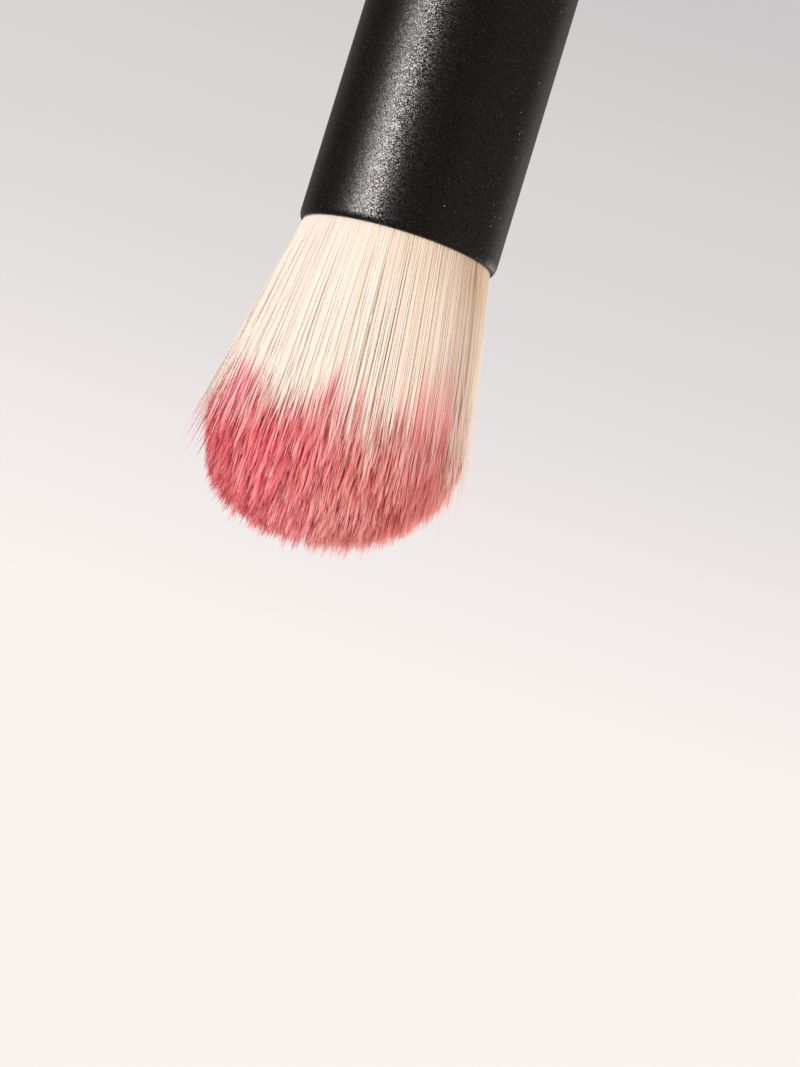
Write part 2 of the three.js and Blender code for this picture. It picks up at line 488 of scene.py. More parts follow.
outside = crimped(FERRULE_RADIUS, FERRULE_FOOT + FOOT_ROUND, MOUTH - LIP_DEPTH)
lip_radius = FERRULE_RADIUS - LIP_INSET
lip = rounded(outside[-1], (lip_radius, MOUTH), LIP_STEPS)
bore_edge = (BORE_RADIUS, MOUTH - (lip_radius - BORE_RADIUS))
bore = crimped(BORE_RADIUS, FERRULE_FOOT, bore_edge[1])[::-1]
foot = [(FERRULE_RADIUS - FOOT_ROUND, FERRULE_FOOT)]
ferrule = spun("ferrule_tube", outside + lip[1:] + bore + foot, closed=True)
print("ferrule_tube:", len(ferrule.data.polygons), "faces")

# %% [markdown]
# ### Its black coat
# The coat is black, satin and full of very fine metal flake, so a highlight breaks into
# tiny sparks. A fine Voronoi pattern divides it into cells. About half of them are grey
# flakes, four in a thousand are brighter sparks, and the rest is plain black. Each cell's
# random colour tips the surface normal, a little for most cells and far more for a spark,
# so that every cell mirrors its own part of the room.

# %% The coat with its flakes
FLAKE_SIZE = 0.05 * MM
FLAKE_TILT, SPARK_TILT = 0.2, 1.1
FLAKES_SHARE, SPARKS_SHARE = 0.5, 0.004
FLAKE_METALLIC = 0.94

coat = Finish("flaked_black_coat")
cells = coat.node("TexVoronoi", Vector=coat.own_place(), Scale=1 / FLAKE_SIZE).outputs["Color"]
centred = coat.node("VectorMath", {"operation": "SUBTRACT"}, Vector=cells)
centred.inputs[1].default_value = (0.5, 0.5, 0.5)
flake_chance, spark_chance, _ = coat.node("SeparateColor", Color=cells).outputs
is_spark = coat.sum("GREATER_THAN", spark_chance, 1 - SPARKS_SHARE)
is_flake = coat.sum("MAXIMUM", coat.sum("GREATER_THAN", flake_chance, 1 - FLAKES_SHARE), is_spark)
flake_grey = coat.blend(is_spark, linear(96, 94, 94), linear(190, 188, 186))
tilt = coat.scaled(is_spark, SPARK_TILT, FLAKE_TILT)
tipped = coat.node("VectorMath", {"operation": "SCALE"}, Vector=centred.outputs[0], Scale=tilt)
true_normal = coat.node("NewGeometry").outputs["Normal"]
leaning = coat.node("VectorMath", {"operation": "ADD"}, Vector=true_normal)
coat.feed(leaning.inputs[1], tipped.outputs[0])
flake_normal = coat.node("VectorMath", {"operation": "NORMALIZE"}, Vector=leaning.outputs[0])
coat.set(
    Base_Color=coat.blend(is_flake, linear(15, 11, 9), flake_grey),
    Metallic=coat.scaled(is_flake, FLAKE_METALLIC),
    Roughness=0.32,
    Specular_IOR_Level=0.5,
    Normal=flake_normal.outputs[0],
)
finish_piece(ferrule, coat, "ferrule_coating", "ferrule")

# %% [markdown]
# ## The handle
# The handle is turned from wood: a flat end to stand on, a slim waist, a fuller grip and a
# shoulder that meets the ferrule. Three S-curves join those stations, as in the CAD model.
# The tenon above the shoulder is hidden in the ferrule, pressed in where the crimps grip.

# %% The handle's outline
END_ROUND, SHOULDER_ROUND = 1.1 * MM, 0.3 * MM
SHOULDER = FERRULE_FOOT - FIT
GRIP = (handle_box[1].x, SHOULDER - 24 * MM)
WAIST = (5.1 * MM, 30 * MM)
END_EDGE = (5.2 * MM, END_ROUND)
SHOULDER_EDGE = (FERRULE_RADIUS, SHOULDER - SHOULDER_ROUND)
TENON_INSET, TENON_CHAMFER = 0.4 * MM, 0.5 * MM
TENON_RADIUS = BORE_RADIUS - TENON_INSET
TENON_TOP = handle_box[1].z
SIDE_STEPS, END_STEPS = 28, 10


def eased(start, end):
    """An S-curve of (radius, height) points, upright at both ends, without its first point."""
    middle = (start[1] + end[1]) / 2
    points = []
    for step in range(1, SIDE_STEPS + 1):
        t = step / SIDE_STEPS
        weights = ((1 - t) ** 3, 3 * t * (1 - t) ** 2, 3 * t * t * (1 - t), t**3)
        radii = (start[0], start[0], end[0], end[0])
        heights = (start[1], middle, middle, end[1])
        points.append(tuple(sum(w * v for w, v in zip(weights, values)) for values in (radii, heights)))
    return points


handle_outline = (
    [(0, 0)]
    + rounded(END_EDGE, (END_EDGE[0] - END_ROUND, 0), END_STEPS)[::-1]
    + eased(END_EDGE, WAIST)
    + eased(WAIST, GRIP)
    + eased(GRIP, SHOULDER_EDGE)
    + rounded(SHOULDER_EDGE, (FERRULE_RADIUS - SHOULDER_ROUND, SHOULDER), ROUND_STEPS)[1:]
    + crimped(TENON_RADIUS, SHOULDER, TENON_TOP - TENON_CHAMFER)
    + [(TENON_RADIUS - TENON_CHAMFER, TENON_TOP), (0, TENON_TOP)]
)
handle = spun("handle_turning", handle_outline, closed=False)
print("handle_turning:", len(handle.data.polygons), "faces")

# %% [markdown]
# ### Its lacquer
# Several thin coats of black lacquer fill most of the grain, and what is left of it shows
# as long, shallow ripples under a satin gloss. Noise stretched along the axis gives those
# ripples, as a faint bump and a faint change of gloss.

# %% The lacquer
GRAIN_SIZE, GRAIN_DEPTH = 0.7 * MM, 0.02 * MM
GRAIN_SCALE = (1, 1, 0.06)
GRAIN_SHOWS = (0.4, 0.75)

lacquer = Finish("satin_black_lacquer")
grain_place = lacquer.node("Mapping", Vector=lacquer.own_place(), Scale=GRAIN_SCALE)
grain = lacquer.noise(GRAIN_SIZE, detail=5.0, place=grain_place.outputs[0])
lacquer.set(
    Base_Color=lacquer.blend(lacquer.fade(grain, *GRAIN_SHOWS), linear(22, 19, 17), linear(34, 28, 24)),
    Roughness=lacquer.node("MapRange", Value=grain, To_Min=0.24, To_Max=0.36).outputs[0],
    Normal=lacquer.relief(grain, strength=0.25, depth=GRAIN_DEPTH),
    Coat_Weight=0.35,
    Coat_Roughness=0.12,
)
finish_piece(handle, lacquer, "handle_lacquer", "handle")

# %% [markdown]
# ## What the ferrule hides
# Three pieces never show on a whole brush, yet a cut-away or a sale as parts shows them:
# the cement on the tenon, the cast resin behind the hair, and the thread that tied the
# bundle. Cement and resin keep their CAD shapes. The thread gets its real form, a fine cord
# wound in eight turns, because a ribbed ring wouldn't pass for one.

# %% Cement and resin
LUMP_SIZE, LUMP_DEPTH = 0.9 * MM, 0.05 * MM
CLOUD_SIZE = 2.5 * MM

cement = Finish("set_cement")
lumps = cement.noise(LUMP_SIZE, detail=4.0)
cement.set(
    Base_Color=cement.blend(lumps, linear(196, 186, 160), linear(222, 214, 192)),
    Roughness=0.5,
    Normal=cement.relief(lumps, strength=0.4, depth=LUMP_DEPTH),
)
resin = Finish("amber_resin")
clouds = resin.noise(CLOUD_SIZE, detail=3.0)
resin.set(
    Base_Color=resin.blend(clouds, linear(196, 142, 66), linear(226, 180, 104)),
    Roughness=0.16,
    Coat_Weight=0.3,
)
paint(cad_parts["tenon_cement"], cement)
paint(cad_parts["root_resin_plug"], resin)

# %% [markdown]
# ### Tubes along paths
# Thread and hair are both long and thin. A curve with an outline as its bevel is the
# shortest way to such a tube, and thousands of them can share one curve. It is turned into a
# mesh, and its open ends are filled.


# %% Tubes along paths
def section_curve(radius, sides):
    """A regular outline for a tube's cross-section."""
    curve = bpy.data.curves.new("section", "CURVE")
    ring = curve.splines.new("POLY")
    ring.points.add(sides - 1)
    ring.use_cyclic_u = True
    for number, point in enumerate(ring.points):
        angle = math.tau * number / sides
        point.co = (radius * math.cos(angle), radius * math.sin(angle), 0, 1)
    return bpy.data.objects.new("section", curve)


def tubes(name, paths, taper, radius, sides):
    """One tube for each path, as one mesh with closed ends. The taper scales the radius."""
    curve = bpy.data.curves.new(name, "CURVE")
    curve.dimensions = "3D"
    curve.bevel_mode = "OBJECT"
    curve.bevel_object = section_curve(radius, sides)
    for path in paths:
        spline = curve.splines.new("POLY")
        spline.points.add(len(path) - 1)
        spline.points.foreach_set("co", np.c_[path, np.ones(len(path))].ravel())
        spline.points.foreach_set("radius", taper)
    holder = bpy.data.objects.new(name, curve)
    bpy.context.scene.collection.objects.link(holder)
    evaluated = holder.evaluated_get(bpy.context.evaluated_depsgraph_get())
    mesh = bpy.data.meshes.new_from_object(evaluated)
    bpy.data.objects.remove(curve.bevel_object)
    bpy.data.objects.remove(holder)
    shape = bmesh.new()
    shape.from_mesh(mesh)
    ends = [edge for edge in shape.edges if edge.is_boundary]
    bmesh.ops.holes_fill(shape, edges=ends, sides=sides)
    bmesh.ops.recalc_face_normals(shape, faces=shape.faces[:])
    return link_mesh(name, shape)


# %% [markdown]
# ### The binding thread
# The thread is waxed and twisted. Its turns lie snugly on each other, so the ring's height
# in the CAD model gives the cord's thickness, and a helix gives its path. Bands that run
# slantwise across the cord stand for the twist.

# %% The wound thread
THREAD_TURNS, STEPS_PER_TURN, THREAD_SIDES = 8, 40, 12
SNUG = 0.98
PLY_SIZE, PLY_DEPTH = 0.9 * MM, 0.04 * MM
thread_radius = (thread_box[1].z - thread_box[0].z) / THREAD_TURNS / 2 * SNUG
winding_radius = thread_box[1].x - thread_radius
steps = np.arange((THREAD_TURNS - 1) * STEPS_PER_TURN + 1)
turns = steps / STEPS_PER_TURN
helix = np.stack([
    winding_radius * np.cos(math.tau * turns),
    winding_radius * np.sin(math.tau * turns),
    thread_box[0].z + thread_radius * (1 + 2 * turns),
], axis=1)
thread = tubes("binding_thread", [helix], np.ones(len(helix)), thread_radius, THREAD_SIDES)
ply = Finish("waxed_thread")
twist = ply.node(
    "TexWave", {"wave_type": "BANDS", "bands_direction": "DIAGONAL"},
    Vector=ply.own_place(), Scale=1 / PLY_SIZE, Distortion=0.4,
).outputs["Fac"]
ply.set(
    Base_Color=ply.blend(twist, linear(206, 196, 172), linear(238, 231, 214)),
    Roughness=0.7,
    Normal=ply.relief(twist, strength=0.6, depth=PLY_DEPTH),
)
finish_piece(thread, ply, "thread", "root_binding_thread")
print("binding_thread:", len(thread.data.polygons), "faces")

# %% [markdown]
# ### The root slice
# The roots are set in a thin slice of the same resin. In the CAD model it is one solid with
# the locks. Here it is a piece of its own, with softened edges, so that it can look like
# resin while the hair looks like hair.

# %% The slice of resin that holds the roots
SLICE_TOP = ROOT + 1.5 * MM
SLICE_RADIUS = BORE_RADIUS - FIT
SLICE_ROUND = 0.12 * MM
SLICE_STEPS = 96
root_slice = spun(
    "root_slice",
    [(0, ROOT)]
    + rounded((SLICE_RADIUS, ROOT + SLICE_ROUND), (SLICE_RADIUS - SLICE_ROUND, ROOT), ROUND_STEPS)[::-1]
    + rounded(
        (SLICE_RADIUS, SLICE_TOP - SLICE_ROUND), (SLICE_RADIUS - SLICE_ROUND, SLICE_TOP), ROUND_STEPS
    )
    + [(0, SLICE_TOP)],
    closed=False, steps=SLICE_STEPS,
)
finish_piece(root_slice, resin, "resin")
print("root_slice:", len(root_slice.data.polygons), "faces")

# %% [markdown]
# ## The tuft
# A brush maker shakes the hair tips-down in a domed cup, ties the bundle and pushes it
# through the ferrule, so all the tips lie on one dome and the hairs fan out from the mouth.
# The same three rules place every hair here: where its root stands in the round bundle, how
# wide the bundle is at each height, and how high the dome is over that root. Hair that
# clings together near its tips, and a little waywardness, then make it look used. Blender's
# own hair system could grow such a tuft, but plain meshes are kept by every export.
#
# The bundle is tied tight at its thread and fills the bore at the mouth. From there it fans
# out, and the fan widens less and less as it rises.

# %% The fan
HALF_A_HAIR, TIP_ROOM = 0.05 * MM, 0.3 * MM
MOUTH_RADIUS = BORE_RADIUS - HALF_A_HAIR
FLARE, FLARE_EASES = 0.212, 0.0031 / MM
BELLY = 11.8 * MM
FREE_LENGTH = TIP - MOUTH - TIP_ROOM
TIED_RADIUS = thread_box[1].x - 2 * thread_radius - FIT
TIED = thread_box[1].z - MOUTH


def bundle_radius(height):
    """The bundle's radius at heights above the mouth: tied below it, a fan that eases off above."""
    below = MOUTH_RADIUS + (MOUTH_RADIUS - TIED_RADIUS) * height / -TIED
    return np.where(height < 0, below, MOUTH_RADIUS + FLARE * height - FLARE_EASES * height**2)


BELLY_RADIUS = float(bundle_radius(BELLY))
print("radius at the mouth", round(MOUTH_RADIUS / MM, 2), "mm, at the belly", round(BELLY_RADIUS / MM, 2))

# %% [markdown]
# ### The dome
# Above the belly the tips lie on a dome. It is half an egg, but blunter on the side to which
# the whole tuft is swept, as on a brush that has been pressed and dragged. Where a hair
# meets the dome has no short formula, so the height is found by halving.

# %% The dome
DOME = FREE_LENGTH - BELLY
EGG_POWER = 1.95
BLUNT_TAPER, BLUNT_POWER, BLUNT_ROOT = 0.24, 6, 0.4
HALVINGS = 30


def dome_rim(rise, across):
    """The dome's radius at a share of its rise, as a share of the belly's. Across is 1 on the swept side."""
    egg = (1 - rise**EGG_POWER) ** (1 / EGG_POWER)
    blunt = (1 - BLUNT_TAPER * rise) * (1 - rise**BLUNT_POWER) ** BLUNT_ROOT
    return egg + (blunt - egg) * (1 + across) / 2


def dome_height(places):
    """How far above the mouth straight hairs meet the dome, for roots at places in the unit disc.

    Each halving keeps the half that holds the meeting point.
    """
    share = np.linalg.norm(places, axis=1)
    low, high = np.full(share.shape, BELLY), np.full(share.shape, FREE_LENGTH)
    for _ in range(HALVINGS):
        middle = (low + high) / 2
        across = share * bundle_radius(middle) / BELLY_RADIUS
        outside = across > dome_rim((middle - BELLY) / DOME, places[:, 0])
        low, high = np.where(outside, low, middle), np.where(outside, middle, high)
    return low


print("the dome rises", round(DOME / MM, 1), "mm above the belly")

# %% [markdown]
# ### Roots, wisps, locks and tresses
# A sunflower spiral spreads the roots evenly over the round bundle with no rows to be seen.
# Coarser spirals give the ways in which hair clings together: about five hairs that share
# some product make a wisp, wisps gather in locks, and locks in tresses. Each hair belongs to
# the nearest wisp, each wisp to the nearest lock and each lock to a tress.

# %% Where the roots stand
HAIRS = 31000
WISPS, LOCKS, TRESSES = 6500, 1200, 200
GOLDEN = math.pi * (3 - math.sqrt(5))
ROOT_UNEVENNESS, CENTRE_UNEVENNESS = 0.3, 0.8


def sunflower(count, unevenness):
    """Points spread over a unit disc, each moved at random by a share of their spacing."""
    order = np.arange(count) + 0.5
    reach, angle = np.sqrt(order / count), order * GOLDEN
    points = np.stack([reach * np.cos(angle), reach * np.sin(angle)], axis=1)
    points += chance.normal(0, unevenness / math.sqrt(count), points.shape)
    return points / np.maximum(np.linalg.norm(points, axis=1), 1)[:, None]


def nearest(points, centres):
    """The number of the nearest centre to each point."""
    return np.array([np.argmin(((centres - point) ** 2).sum(axis=1)) for point in points])


roots = sunflower(HAIRS, ROOT_UNEVENNESS)
wisp_centres, lock_centres, tress_centres = (
    sunflower(count, CENTRE_UNEVENNESS) for count in (WISPS, LOCKS, TRESSES)
)
lock_of_wisp = nearest(wisp_centres, lock_centres)
tress_of_lock = nearest(lock_centres, tress_centres)
print(HAIRS, "roots in", WISPS, "wisps,", LOCKS, "locks and", TRESSES, "tresses")

# %% [markdown]
# ### The path of each hair
# Seven points carry a hair from inside the root slice to its tip. For most of its length it
# lies beside its neighbours. Over the last few millimetres it is drawn to the middle of its
# wisp, and the wisp to its lock and tress, but four hairs in ten stay nearly loose. Every
# wisp and lock leans its own way, and every wisp has its own length. The outermost hairs lie
# smoother than the rest, and away from the swept side the wisps bow a little.
#
# The fan then turns slowly about the axis as it rises, and is swept to one side.

# %% Paths from root to tip
STATION_SHARES = np.array([0.25, 0.5, 0.7, 0.86, 1.0])
ROOT_DEPTH, UNDER_MOUTH = 0.75 * MM, 0.2 * MM
CLING_LENGTH, CLING_POWER = 2.6 * MM, 1.3
LEAN_LENGTH, LEAN_POWER = 3.4 * MM, 2
LOOSE_SHARE, LOOSE_CLING = 0.4, 0.15
SMOOTH_FROM, SMOOTHING = 0.78, 0.65
BOW_SHARE = 0.5
LEAST_SHORT, MEAN_SHORT = 0.1 * MM, 0.5 * MM
WANDER = 0.045 * MM
SIDE_SWEEP, SWEEP_POWER = 0.5 * MM, 1.5
SWIRL = math.radians(-12)

wisp_pull = chance.uniform(0.4, 0.9, WISPS)
wisp_lean = chance.normal(0, 0.07 * MM, (WISPS, 2))
wisp_length = chance.normal(0, 0.3 * MM, WISPS)
lock_pull = chance.uniform(0.03, 0.2, LOCKS)
lock_lean = chance.normal(0, 0.07 * MM, (LOCKS, 2))
tress_pull = chance.uniform(0.0, 0.06, TRESSES)
wisp_bow = chance.normal(0, 0.05 * MM, (WISPS, 2))


def paths_for(places, wisps, lengthen, wander):
    """Points of each hair, as an array of hairs by stations by three."""
    count = len(places)
    locks = lock_of_wisp[wisps]
    tresses = tress_of_lock[locks]
    free = dome_height(places) + wisp_length[wisps] + lengthen
    heights = np.concatenate([
        np.full((count, 1), ROOT + ROOT_DEPTH - MOUTH),
        np.full((count, 1), -UNDER_MOUTH),
        free[:, None] * STATION_SHARES,
    ], axis=1)
    from_tip = (free[:, None] - heights)[:, :, None]
    gathered = np.clip(1 - from_tip / CLING_LENGTH, 0, 1) ** CLING_POWER
    leaning = np.clip(1 - from_tip / LEAN_LENGTH, 0, 1) ** LEAN_POWER
    to_wisp = (wisp_centres[wisps] - places) * wisp_pull[wisps][:, None]
    to_lock = (lock_centres[locks] - wisp_centres[wisps]) * lock_pull[locks][:, None]
    to_tress = (tress_centres[tresses] - lock_centres[locks]) * tress_pull[tresses][:, None]
    outermost = np.clip((np.linalg.norm(places, axis=1) - SMOOTH_FROM) / (1 - SMOOTH_FROM), 0, 1)
    unruly = (1 - SMOOTHING * outermost)[:, None, None]
    clinging = np.where(chance.random(count) < LOOSE_SHARE, LOOSE_CLING, 1)[:, None, None] * unruly
    together = (to_lock + to_tress)[:, None, :] * leaning
    drawn = places[:, None, :] + to_wisp[:, None, :] * gathered * clinging + together
    own_lean = chance.normal(0, wander, (count, 2))
    lean = (wisp_lean[wisps] + lock_lean[locks] + own_lean)[:, None, :] * leaning * unruly
    along = np.clip(heights / free[:, None], 0, 1)[:, :, None]
    tangled = (0.5 - 0.5 * places[:, :1]) * wisp_bow[wisps]
    own_bow = chance.normal(0, BOW_SHARE * wander, (count, 2))
    bow = (own_bow + tangled)[:, None, :] * np.sin(math.pi * along)
    across = drawn * bundle_radius(heights)[:, :, None] + lean + bow
    climbed = np.clip(heights / FREE_LENGTH, 0, 1)
    cosine, sine = np.cos(SWIRL * climbed), np.sin(SWIRL * climbed)
    x = across[:, :, 0] * cosine - across[:, :, 1] * sine + SIDE_SWEEP * climbed**SWEEP_POWER
    y = across[:, :, 0] * sine + across[:, :, 1] * cosine
    return np.stack([x, y, heights + MOUTH], axis=2)


wisp_of = nearest(roots, wisp_centres)
hair_paths = paths_for(roots, wisp_of, -LEAST_SHORT - chance.exponential(MEAN_SHORT, HAIRS), WANDER)
wisp_tone, tress_tone = chance.random(WISPS), chance.random(TRESSES)
tones = np.stack([
    chance.random(HAIRS), wisp_tone[wisp_of], tress_tone[tress_of_lock[lock_of_wisp[wisp_of]]],
], axis=1)
reaches = np.ptp(hair_paths[:, :, 2], axis=1) / MM
print("hairs run from", round(reaches.min(), 1), "to", round(reaches.max(), 1), "mm")

# %% [markdown]
# ### Hair to mesh
# Each path becomes a three-sided tube that tapers to its tip. A curve with a bevel makes the
# tubes, and the mesh that it turns into keeps their order, so every tube's corners can be
# told which hair they belong to. Three numbers ride along for the colour: a random tone of
# the hair, one of its wisp and one of its tress. A map that gives each hair a row of its own
# lets the finished colours be painted to a picture. The bundle is cut into six rings of
# hair, so that no mesh grows too heavy.

# %% Tubes with their own tones
HAIR_RADIUS = 0.046 * MM
HAIR_SIDES = 3
TAPER_SHARES = np.array([0.85, 0.95, 1.08, 1.15, 1.15, 1.0, 0.14])
TONES = ("hair_tone", "wisp_tone", "tress_tone")
ROW_MARGIN, ROW_FILL = 0.1, 0.8
RINGS = ("heart_hair", "core_hair", "inner_hair", "middle_hair", "outer_hair", "cover_hair")


def hair_piece(name, chosen, paths, tones, radius):
    """The chosen hairs as one mesh, with their tones and a map for baking."""
    piece = tubes(name, paths[chosen], TAPER_SHARES, radius, HAIR_SIDES)
    mesh = piece.data
    stations = paths.shape[1]
    owner = np.repeat(np.arange(len(chosen)), stations * HAIR_SIDES)
    for number, label in enumerate(TONES):
        values = tones[chosen, number][owner].astype(np.float32)
        mesh.attributes.new(label, "FLOAT", "POINT").data.foreach_set("value", values)
    corner = np.empty(len(mesh.loops), np.int32)
    mesh.loops.foreach_get("vertex_index", corner)
    along = np.tile(np.repeat(np.linspace(0, 1, stations), HAIR_SIDES), len(chosen))
    row = (np.argsort(np.argsort(tones[chosen].sum(axis=1))) + ROW_MARGIN) / len(chosen)
    side_step = (np.arange(len(owner)) % HAIR_SIDES) / HAIR_SIDES * ROW_FILL / len(chosen)
    bake_map = mesh.uv_layers.new(name="OFBake", do_init=False)
    places = np.stack([along[corner], (row[owner] + side_step)[corner]], axis=1)
    bake_map.uv.foreach_set("vector", places.astype(np.float32).ravel())
    print(name + ":", len(chosen), "hairs,", len(mesh.polygons), "faces")
    return piece


order_outwards = np.argsort(np.argsort(np.linalg.norm(roots, axis=1)))
ring_of = order_outwards * len(RINGS) // HAIRS
tuft_pieces = [
    hair_piece(name, np.flatnonzero(ring_of == ring), hair_paths, tones, HAIR_RADIUS)
    for ring, name in enumerate(RINGS)
]

# %% [markdown]
# ### Strays
# No tuft is perfectly groomed. Seven hundred finer hairs leave the cover and curve outwards,
# most by a fraction of a millimetre and more of them on the swept side. About one in eleven
# hangs well clear, and many of those stand on the far side.

# %% Stray hairs
STRAYS = 700
ROUND_SHARE, LONG_SHARE, FAR_SHARE = 0.6, 0.09, 0.4
SWEPT_ANGLE, SWEPT_SPREAD = 0.3, 0.9
FAR_ANGLE, FAR_SPREAD = math.pi, 0.4
INNERMOST_STRAY = 0.93
STRAY_LONGER, STRAY_UNEVEN, STRAY_WANDER = 0.3 * MM, 0.8 * MM, 0.15 * MM
LEAST_CLEAR, MOST_CLEAR = 0.5 * MM, 1.5 * MM
OUTWARDS, SIDEWAYS = 0.22 * MM, 0.5 * MM
BEND_POWER = 1.5
# Strays take tones from the pale end of each ramp, which is painted light for fine hair lit from behind.
STRAY_TONES = (0.8, 1.1)
STRAY_RADIUS = HAIR_RADIUS * 0.5

stray_angle = np.where(
    chance.random(STRAYS) < ROUND_SHARE,
    chance.uniform(0, math.tau, STRAYS),
    chance.normal(SWEPT_ANGLE, SWEPT_SPREAD, STRAYS),
)
is_long = chance.random(STRAYS) < LONG_SHARE
on_far_side = is_long & (chance.random(STRAYS) < FAR_SHARE)
stray_angle = np.where(on_far_side, chance.normal(FAR_ANGLE, FAR_SPREAD, STRAYS), stray_angle)
unit_out = np.stack([np.cos(stray_angle), np.sin(stray_angle)], axis=1)
unit_side = np.stack([-unit_out[:, 1], unit_out[:, 0]], axis=1)
stray_places = unit_out * chance.uniform(INNERMOST_STRAY, 1.0, (STRAYS, 1))
stray_paths = paths_for(
    stray_places, nearest(stray_places, wisp_centres),
    chance.normal(STRAY_LONGER, STRAY_UNEVEN, STRAYS), STRAY_WANDER,
)
outwards = np.where(
    is_long, chance.uniform(LEAST_CLEAR, MOST_CLEAR, STRAYS), chance.exponential(OUTWARDS, STRAYS)
)
sideways = chance.normal(0, SIDEWAYS, STRAYS)
astray = unit_out * outwards[:, None] + unit_side * sideways[:, None]
bend = np.clip((stray_paths[:, :, 2] - MOUTH) / FREE_LENGTH, 0, 1) ** BEND_POWER
stray_paths[:, :, :2] += astray[:, None, :] * bend[:, :, None]
stray_tones = chance.uniform(*STRAY_TONES, (STRAYS, len(TONES)))
tuft_pieces.append(hair_piece("stray_hair", np.arange(STRAYS), stray_paths, stray_tones, STRAY_RADIUS))

# %% [markdown]
# ### Where a point lies
# The hair's colours change across the tuft, up it and into it. A painted picture could hold
# them, but formulas on the place of each point stay sharp at any size. A shell number tells
# how far in a point lies, by the same fan and nearly the same dome that place the hairs: 1
# at the tuft's outside and less within.

# %% Side, height and shell number
SHELL_POWER = 2.15

hair = Finish("stained_cream_hair")
tone, wisp, tress = [
    hair.node("Attribute", {"attribute_name": label}).outputs["Fac"] for label in TONES
]
spot = hair.node("SeparateXYZ", Vector=hair.own_place()).outputs
side, depth = hair.scaled(spot["X"], 1 / MM), hair.scaled(spot["Y"], 1 / MM)
above_mouth = hair.scaled(hair.sum("SUBTRACT", spot["Z"], MOUTH), 1 / MM)

climbed = hair.scaled(above_mouth, MM / FREE_LENGTH)
swept = hair.scaled(hair.sum("POWER", climbed, SWEEP_POWER), SIDE_SWEEP / MM)
level_spot = hair.node("CombineXYZ", X=hair.sum("SUBTRACT", side, swept), Y=depth).outputs[0]
from_axis = hair.node("VectorMath", {"operation": "LENGTH"}, Vector=level_spot).outputs["Value"]
widening = hair.scaled(above_mouth, -FLARE_EASES * MM, FLARE)
fan_radius = hair.scaled(above_mouth, widening, MOUTH_RADIUS / MM)
outward = hair.sum("DIVIDE", from_axis, hair.sum("MINIMUM", fan_radius, BELLY_RADIUS / MM))
upward = hair.sum("DIVIDE", hair.sum("SUBTRACT", above_mouth, BELLY / MM), DOME / MM, clamp=True)
powers = [hair.sum("POWER", part, SHELL_POWER) for part in (outward, upward)]
shell = hair.sum("POWER", hair.sum("ADD", *powers), 1 / SHELL_POWER)
print("the hair's finish reads", ", ".join(TONES), "and each point's place")

# %% [markdown]
# ### Cream hair
# Undyed hair runs from near white to tan, mostly by wisp. On the swept side, where the key
# light falls, its tones are evened out to one light cream, which is painted light. Inside
# the tuft it has a painted warmth for light that comes through other hair, and a painted
# shade of tan darkens it close to the ferrule and on the far side. Each pair of numbers here,
# and for the stain, says where a change starts and where it is complete, in millimetres
# across or up, or in shell numbers.

# %% The cream
INSIDE = (0.975, 0.89)
CREAM_BY_WISP = 0.7
CALM_SIDE, CALM = (-0.5, 3.5), 0.95
WARMTH, CALM_COOLS = 0.7, 0.45
SHADE_SIDE, BY_FERRULE = (2.5, -4.5), (4.5, 0.0)
FAR_SIDE_SHADE, FAR_FERRULE_SHADE, FERRULE_SHADE = 0.09, 0.2, 0.06
EVEN_CREAM, WARM_CREAM, TAN = linear(250, 239, 229), linear(255, 208, 160), linear(206, 176, 140)


def by_wisp(share):
    """A tone that is the wisp's for this share and the hair's own for the rest."""
    return hair.scaled(wisp, share, hair.scaled(tone, 1 - share))


inner = hair.fade(shell, *INSIDE)
cream = hair.ramp(
    by_wisp(CREAM_BY_WISP),
    (0.04, linear(212, 178, 144)), (0.16, linear(239, 217, 196)), (0.32, linear(247, 233, 221)),
    (0.6, linear(250, 240, 231)), (1.0, linear(252, 244, 238)),
)
# Painted light: where the key light falls, the tones are evened to one light cream, for strands that the
# light washes out.
calm = hair.scaled(hair.fade(side, *CALM_SIDE), CALM)
cream = hair.blend(calm, cream, EVEN_CREAM)
# Painted warmth inside the tuft, for light that comes through other hair, with less of it where the key
# light falls.
warmth = hair.scaled(calm, -CALM_COOLS, WARMTH)
cream = hair.blend(hair.scaled(inner, warmth), cream, WARM_CREAM)
# Painted shade: tan close to the ferrule and on the far side, away from the key light.
by_ferrule = hair.fade(above_mouth, *BY_FERRULE)
far_side_shade = hair.scaled(by_ferrule, FAR_FERRULE_SHADE, FAR_SIDE_SHADE)
painted_shade_share = hair.scaled(hair.fade(side, *SHADE_SIDE), far_side_shade, hair.scaled(by_ferrule, FERRULE_SHADE))
cream = hair.blend(painted_shade_share, cream, TAN)
print("cream hair:", len(hair.tree.nodes), "nodes so far")

# %% [markdown]
# ### Stained tips
# The tips have picked up cosmetic colour. Its edge lies about 11 mm from the mouth and waves
# by a millimetre either way across the tuft. On the far side it lies nearer the mouth, and
# is softer and more ragged. Every tress, wisp and hair shifts it a little, and inside the
# tuft the colour has crept about two millimetres nearer the mouth.

# %% The stain's edge
STAIN_EDGE = 10.9
EDGE_WAVE, WAVE_LENGTH, WAVE_TOP = 1.0, 5.25, 3.5
NEARER_SIDE, NEARER = (-2.0, -4.5), 1.1
TRESS_RAGGED, WISP_RAGGED, HAIR_RAGGED = 0.7, 0.9, 0.7
RAGGED_SIDE, MORE_RAGGED = (2.0, -3.0), 2.6
CREEP = 2.2
SOFT_SIDE, BLUR, MORE_BLUR = (3.0, -3.0), 1.0, 2.0


def spread(value, width):
    """A number from 0 to 1 as an offset of up to half the width either way."""
    return hair.scaled(value, width, -width / 2)


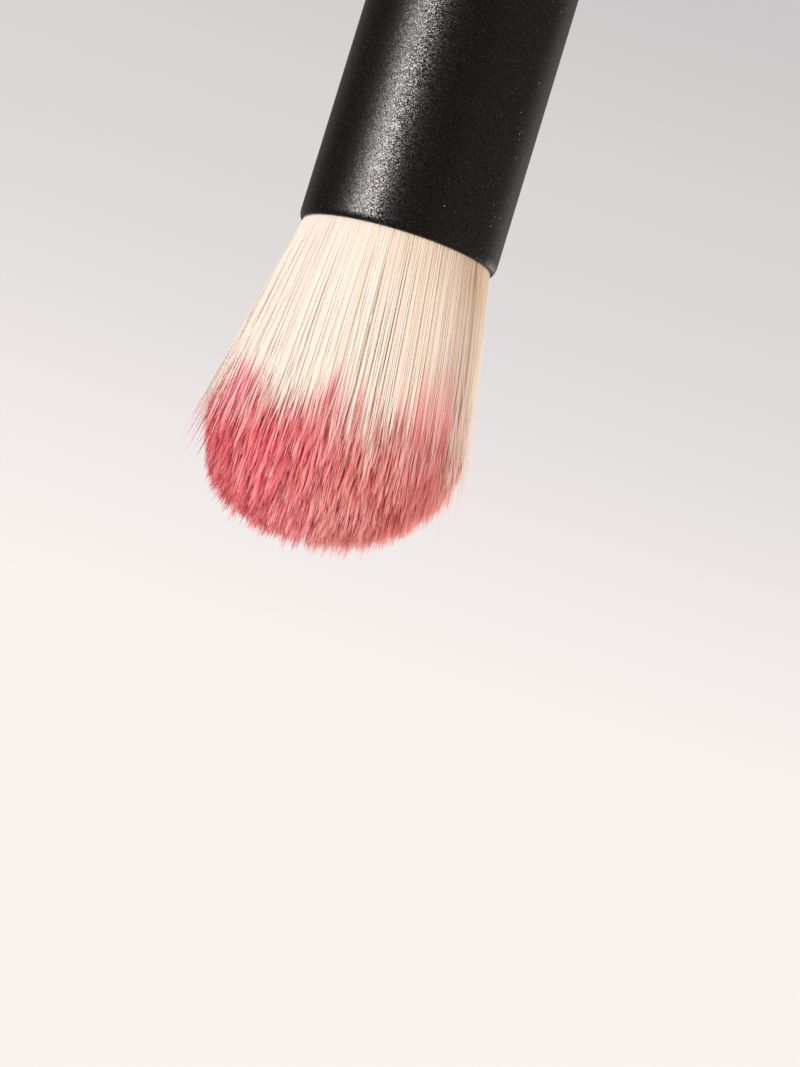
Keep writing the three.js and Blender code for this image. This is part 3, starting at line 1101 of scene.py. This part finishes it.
phase = hair.scaled(hair.sum("SUBTRACT", side, WAVE_TOP), math.tau / WAVE_LENGTH)
wavy_edge = hair.scaled(hair.sum("COSINE", phase), EDGE_WAVE, STAIN_EDGE)
edge = hair.scaled(hair.fade(side, *NEARER_SIDE), -NEARER, wavy_edge)
shift = hair.sum("ADD", spread(wisp, WISP_RAGGED), spread(tone, HAIR_RAGGED))
shift = hair.sum("ADD", spread(tress, TRESS_RAGGED), shift)
own_edge = hair.scaled(shift, hair.scaled(hair.fade(side, *RAGGED_SIDE), MORE_RAGGED, 1.0), edge)
past_edge = hair.scaled(inner, CREEP, hair.sum("SUBTRACT", above_mouth, own_edge))
blur = hair.scaled(hair.fade(side, *SOFT_SIDE), MORE_BLUR, BLUR)
stained = hair.fade(hair.sum("DIVIDE", past_edge, blur), -1.0, 1.0)
print("stain's edge", STAIN_EDGE - EDGE_WAVE, "to", STAIN_EDGE + EDGE_WAVE, "mm from the mouth")

# %% [markdown]
# ### The rose, and light through hair
# The rose differs by wisp. Inside the tuft it is painted deeper and more saturated, for
# light that scatters through dyed hair, and at the outside it is painted paler, for tips
# that catch the light. It covers less on the far side. Fine hair also lets some light
# through, which a translucent shader of the same colour stands for.

# %% The rose and the hair's shader
ROSE_BY_WISP = 0.6
DEEP, DEEPENED = (0.905, 0.815), 0.6
OUTSIDE = (0.87, 0.96)
PALE_SIDE, PALE, MORE_PALE = (4.0, -1.0), 0.19, 0.3
HOLD_SIDE, HOLD, MORE_HOLD = (-3.0, 2.5), 0.78, 0.18
DEEP_ROSE, PALE_ROSE = linear(255, 34, 72), linear(255, 210, 208)
TRANSLUCENCY = 0.2

rose = hair.ramp(
    by_wisp(ROSE_BY_WISP),
    (0.16, linear(190, 10, 44)), (0.38, linear(246, 58, 88)), (0.62, linear(255, 116, 134)),
    (0.86, linear(255, 208, 206)),
)
# Painted light: deeper, more saturated rose inside the tuft, for light scattered through dyed hair.
dye = hair.blend(hair.scaled(hair.fade(shell, *DEEP), DEEPENED), rose, DEEP_ROSE)
pale_share = hair.scaled(hair.fade(side, *PALE_SIDE), MORE_PALE, PALE)
# Painted highlight: paler rose at the outside, with more of it on the far side, for tips that catch the
# light.
dye = hair.blend(hair.scaled(hair.fade(shell, *OUTSIDE), pale_share), dye, PALE_ROSE)
hold = hair.scaled(hair.fade(side, *HOLD_SIDE), MORE_HOLD, HOLD)
shade = hair.blend(hair.scaled(stained, hold), cream, dye)
hair.set(Base_Color=shade, Roughness=0.34, Specular_IOR_Level=0.24)
hair.mix_in(TRANSLUCENCY, hair.node("BsdfTranslucent", Color=shade))

for piece in tuft_pieces:
    finish_piece(piece, hair, "hair", "hair_tuft")
